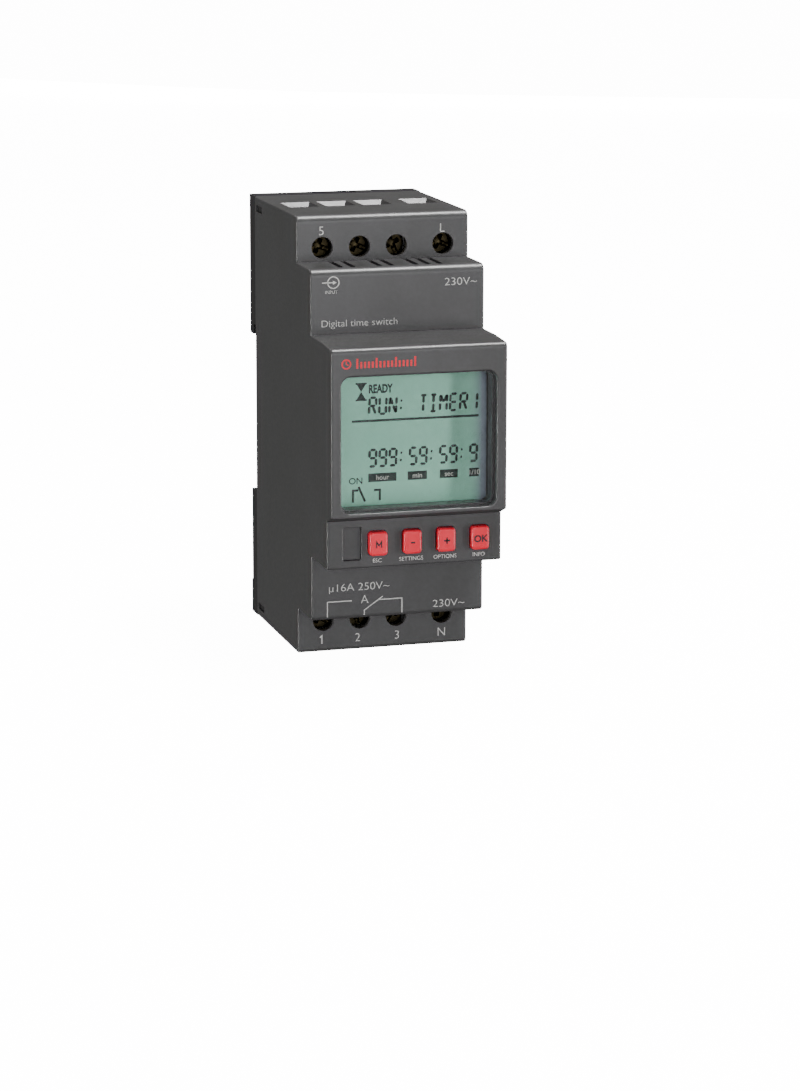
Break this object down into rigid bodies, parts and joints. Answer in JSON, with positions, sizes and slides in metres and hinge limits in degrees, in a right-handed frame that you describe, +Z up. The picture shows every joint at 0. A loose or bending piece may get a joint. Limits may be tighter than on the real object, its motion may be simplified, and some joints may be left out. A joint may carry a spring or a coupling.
{
  "type": "din rail timer",
  "caption": "Narrow stepped timer for a DIN rail, with a display behind a window, a row of push keys, screw-clamp terminals top and bottom, and a sprung latch for the rail.",
  "frame": {"origin": "middle of the flat seat that rests on the front of the 35 mm top-hat rail, on the rail's centre line", "axes": "+Y back towards the wall, out of the rail seat; +Z up along the device's height; +X to the right seen from the front"},
  "size_m": [0.036, 0.066, 0.09],
  "materials": {
    "housing_plastic": "satin moulded",
    "latch_plastic": "satin moulded",
    "window_plastic": "clear polished",
    "key_plastic": "moulded, softly polished",
    "switch_plastic": "moulded",
    "plunger_plastic": "moulded",
    "terminal_plastic": "moulded",
    "display_glass": "polished",
    "reflector_film": "satin film",
    "contact_rubber": "moulded",
    "board_laminate": "solder mask",
    "spring_steel": "drawn wire",
    "screw_steel": "yellow zinc plated",
    "cage_steel": "zinc plated",
    "contact_brass": "stamped, tinned at the tips",
    "cell_steel": "nickel plated",
    "relay_plastic": "moulded",
    "coil_tape": "enamelled wire under tape",
    "relay_iron": "nickel plated",
    "capacitor_plastic": "moulded box",
    "capacitor_sleeve": "shrink sleeve",
    "varistor_lacquer": "dipped lacquer",
    "resistor_enamel": "flameproof coat",
    "diode_epoxy": "moulded"
  },
  "bodies": {
    "root": {"backup_cell": "cell_steel", "board_link_pins": "contact_brass", "board_link_spacers": "switch_plastic", "cell_clips": "cell_steel", "contact_strips": "contact_rubber", "display_board": "board_laminate", "display_window": "window_plastic", "front_housing": "housing_plastic", "fuse_resistor": "resistor_enamel", "key_switch_bodies": "switch_plastic", "latch_spring": "spring_steel", "lcd_front_glass": "display_glass", "lcd_holder": "switch_plastic", "lcd_rear_glass": "display_glass", "lcd_reflector": "reflector_film", "lower_contact_bars": "contact_brass", "lower_terminal_carrier": "terminal_plastic", "mains_capacitor": "capacitor_plastic", "microcontroller": "switch_plastic", "port_cover": "housing_plastic", "power_board": "board_laminate", "quartz_crystal": "cell_steel", "rear_base": "housing_plastic", "rectifier_diodes": "diode_epoxy", "relay_base": "switch_plastic", "relay_coil": "coil_tape", "relay_cover": "relay_plastic", "relay_fixed_contacts": "contact_brass", "relay_yoke": "relay_iron", "smoothing_capacitor": "capacitor_sleeve", "upper_contact_bars": "contact_brass", "upper_terminal_carrier": "terminal_plastic", "varistor": "varistor_lacquer"},
    "rail_latch": {"rail_latch": "latch_plastic"},
    "button_menu": {"button_menu": "key_plastic"},
    "plunger_menu": {"switch_plunger_menu": "plunger_plastic"},
    "button_minus": {"button_minus": "key_plastic"},
    "plunger_minus": {"switch_plunger_minus": "plunger_plastic"},
    "button_plus": {"button_plus": "key_plastic"},
    "plunger_plus": {"switch_plunger_plus": "plunger_plastic"},
    "button_ok": {"button_ok": "key_plastic"},
    "plunger_ok": {"switch_plunger_ok": "plunger_plastic"},
    "screw_5": {"clamp_screw_5": "screw_steel"},
    "cage_5": {"clamp_cage_5": "cage_steel"},
    "screw_a": {"clamp_screw_a": "screw_steel"},
    "cage_a": {"clamp_cage_a": "cage_steel"},
    "screw_b": {"clamp_screw_b": "screw_steel"},
    "cage_b": {"clamp_cage_b": "cage_steel"},
    "screw_l": {"clamp_screw_l": "screw_steel"},
    "cage_l": {"clamp_cage_l": "cage_steel"},
    "screw_1": {"clamp_screw_1": "screw_steel"},
    "cage_1": {"clamp_cage_1": "cage_steel"},
    "screw_2": {"clamp_screw_2": "screw_steel"},
    "cage_2": {"clamp_cage_2": "cage_steel"},
    "screw_3": {"clamp_screw_3": "screw_steel"},
    "cage_3": {"clamp_cage_3": "cage_steel"},
    "screw_n": {"clamp_screw_n": "screw_steel"},
    "cage_n": {"clamp_cage_n": "cage_steel"},
    "relay_armature": {"relay_armature": "relay_iron", "relay_moving_contact": "contact_brass"}
  },
  "joints": [
    {"name": "latch_slide", "type": "slide", "parent": "root", "child": "rail_latch", "axis": [0, 0, -1], "range_m": [0, 0.003], "stiffness_N_per_m": 600, "springref_m": -0.003, "deforming": ["latch_spring"]},
    {"name": "key_menu_press", "type": "slide", "parent": "root", "child": "button_menu", "axis": [0, 1, 0], "range_m": [0, 0.0004], "stiffness_N_per_m": 400, "springref_m": -0.0006},
    {"name": "switch_menu_press", "type": "slide", "parent": "root", "child": "plunger_menu", "axis": [0, 1, 0], "range_m": [0, 0.0004]},
    {"name": "key_minus_press", "type": "slide", "parent": "root", "child": "button_minus", "axis": [0, 1, 0], "range_m": [0, 0.0004], "stiffness_N_per_m": 400, "springref_m": -0.0006},
    {"name": "switch_minus_press", "type": "slide", "parent": "root", "child": "plunger_minus", "axis": [0, 1, 0], "range_m": [0, 0.0004]},
    {"name": "key_plus_press", "type": "slide", "parent": "root", "child": "button_plus", "axis": [0, 1, 0], "range_m": [0, 0.0004], "stiffness_N_per_m": 400, "springref_m": -0.0006},
    {"name": "switch_plus_press", "type": "slide", "parent": "root", "child": "plunger_plus", "axis": [0, 1, 0], "range_m": [0, 0.0004]},
    {"name": "key_ok_press", "type": "slide", "parent": "root", "child": "button_ok", "axis": [0, 1, 0], "range_m": [0, 0.0004], "stiffness_N_per_m": 400, "springref_m": -0.0006},
    {"name": "switch_ok_press", "type": "slide", "parent": "root", "child": "plunger_ok", "axis": [0, 1, 0], "range_m": [0, 0.0004]},
    {"name": "cage_5_lift", "type": "slide", "parent": "root", "child": "cage_5", "axis": [0, -1, 0], "range_m": [0, 0.0042]},
    {"name": "screw_5_turn", "type": "hinge", "parent": "root", "child": "screw_5", "pos_m": [-0.01263, -0.029, 0.0384], "axis": [0, 1, 0], "range_deg": [0, 2520]},
    {"name": "cage_a_lift", "type": "slide", "parent": "root", "child": "cage_a", "axis": [0, -1, 0], "range_m": [0, 0.0042]},
    {"name": "screw_a_turn", "type": "hinge", "parent": "root", "child": "screw_a", "pos_m": [-0.00487, -0.029, 0.0384], "axis": [0, 1, 0], "range_deg": [0, 2520]},
    {"name": "cage_b_lift", "type": "slide", "parent": "root", "child": "cage_b", "axis": [0, -1, 0], "range_m": [0, 0.0042]},
    {"name": "screw_b_turn", "type": "hinge", "parent": "root", "child": "screw_b", "pos_m": [0.00287, -0.029, 0.0384], "axis": [0, 1, 0], "range_deg": [0, 2520]},
    {"name": "cage_l_lift", "type": "slide", "parent": "root", "child": "cage_l", "axis": [0, -1, 0], "range_m": [0, 0.0042]},
    {"name": "screw_l_turn", "type": "hinge", "parent": "root", "child": "screw_l", "pos_m": [0.01263, -0.029, 0.0384], "axis": [0, 1, 0], "range_deg": [0, 2520]},
    {"name": "cage_1_lift", "type": "slide", "parent": "root", "child": "cage_1", "axis": [0, -1, 0], "range_m": [0, 0.0042]},
    {"name": "screw_1_turn", "type": "hinge", "parent": "root", "child": "screw_1", "pos_m": [-0.01263, -0.029, -0.0384], "axis": [0, 1, 0], "range_deg": [0, 2520]},
    {"name": "cage_2_lift", "type": "slide", "parent": "root", "child": "cage_2", "axis": [0, -1, 0], "range_m": [0, 0.0042]},
    {"name": "screw_2_turn", "type": "hinge", "parent": "root", "child": "screw_2", "pos_m": [-0.00487, -0.029, -0.0384], "axis": [0, 1, 0], "range_deg": [0, 2520]},
    {"name": "cage_3_lift", "type": "slide", "parent": "root", "child": "cage_3", "axis": [0, -1, 0], "range_m": [0, 0.0042]},
    {"name": "screw_3_turn", "type": "hinge", "parent": "root", "child": "screw_3", "pos_m": [0.00287, -0.029, -0.0384], "axis": [0, 1, 0], "range_deg": [0, 2520]},
    {"name": "cage_n_lift", "type": "slide", "parent": "root", "child": "cage_n", "axis": [0, -1, 0], "range_m": [0, 0.0042]},
    {"name": "screw_n_turn", "type": "hinge", "parent": "root", "child": "screw_n", "pos_m": [0.01263, -0.029, -0.0384], "axis": [0, 1, 0], "range_deg": [0, 2520]},
    {"name": "relay_armature_tilt", "type": "hinge", "parent": "root", "child": "relay_armature", "pos_m": [-0.006, -0.0199, -0.02375], "axis": [0, 0, -1], "range_deg": [0, 3], "stiffness_Nm_per_rad": 0.02, "springref_deg": -5.73}
  ],
  "couplings": [
    {"joint": "switch_menu_press", "follows": "key_menu_press", "ratio": 1},
    {"joint": "switch_minus_press", "follows": "key_minus_press", "ratio": 1},
    {"joint": "switch_plus_press", "follows": "key_plus_press", "ratio": 1},
    {"joint": "switch_ok_press", "follows": "key_ok_press", "ratio": 1},
    {"joint": "screw_5_turn", "follows": "cage_5_lift", "rad_per_m": 10472},
    {"joint": "screw_a_turn", "follows": "cage_a_lift", "rad_per_m": 10472},
    {"joint": "screw_b_turn", "follows": "cage_b_lift", "rad_per_m": 10472},
    {"joint": "screw_l_turn", "follows": "cage_l_lift", "rad_per_m": 10472},
    {"joint": "screw_1_turn", "follows": "cage_1_lift", "rad_per_m": 10472},
    {"joint": "screw_2_turn", "follows": "cage_2_lift", "rad_per_m": 10472},
    {"joint": "screw_3_turn", "follows": "cage_3_lift", "rad_per_m": 10472},
    {"joint": "screw_n_turn", "follows": "cage_n_lift", "rad_per_m": 10472}
  ]
}
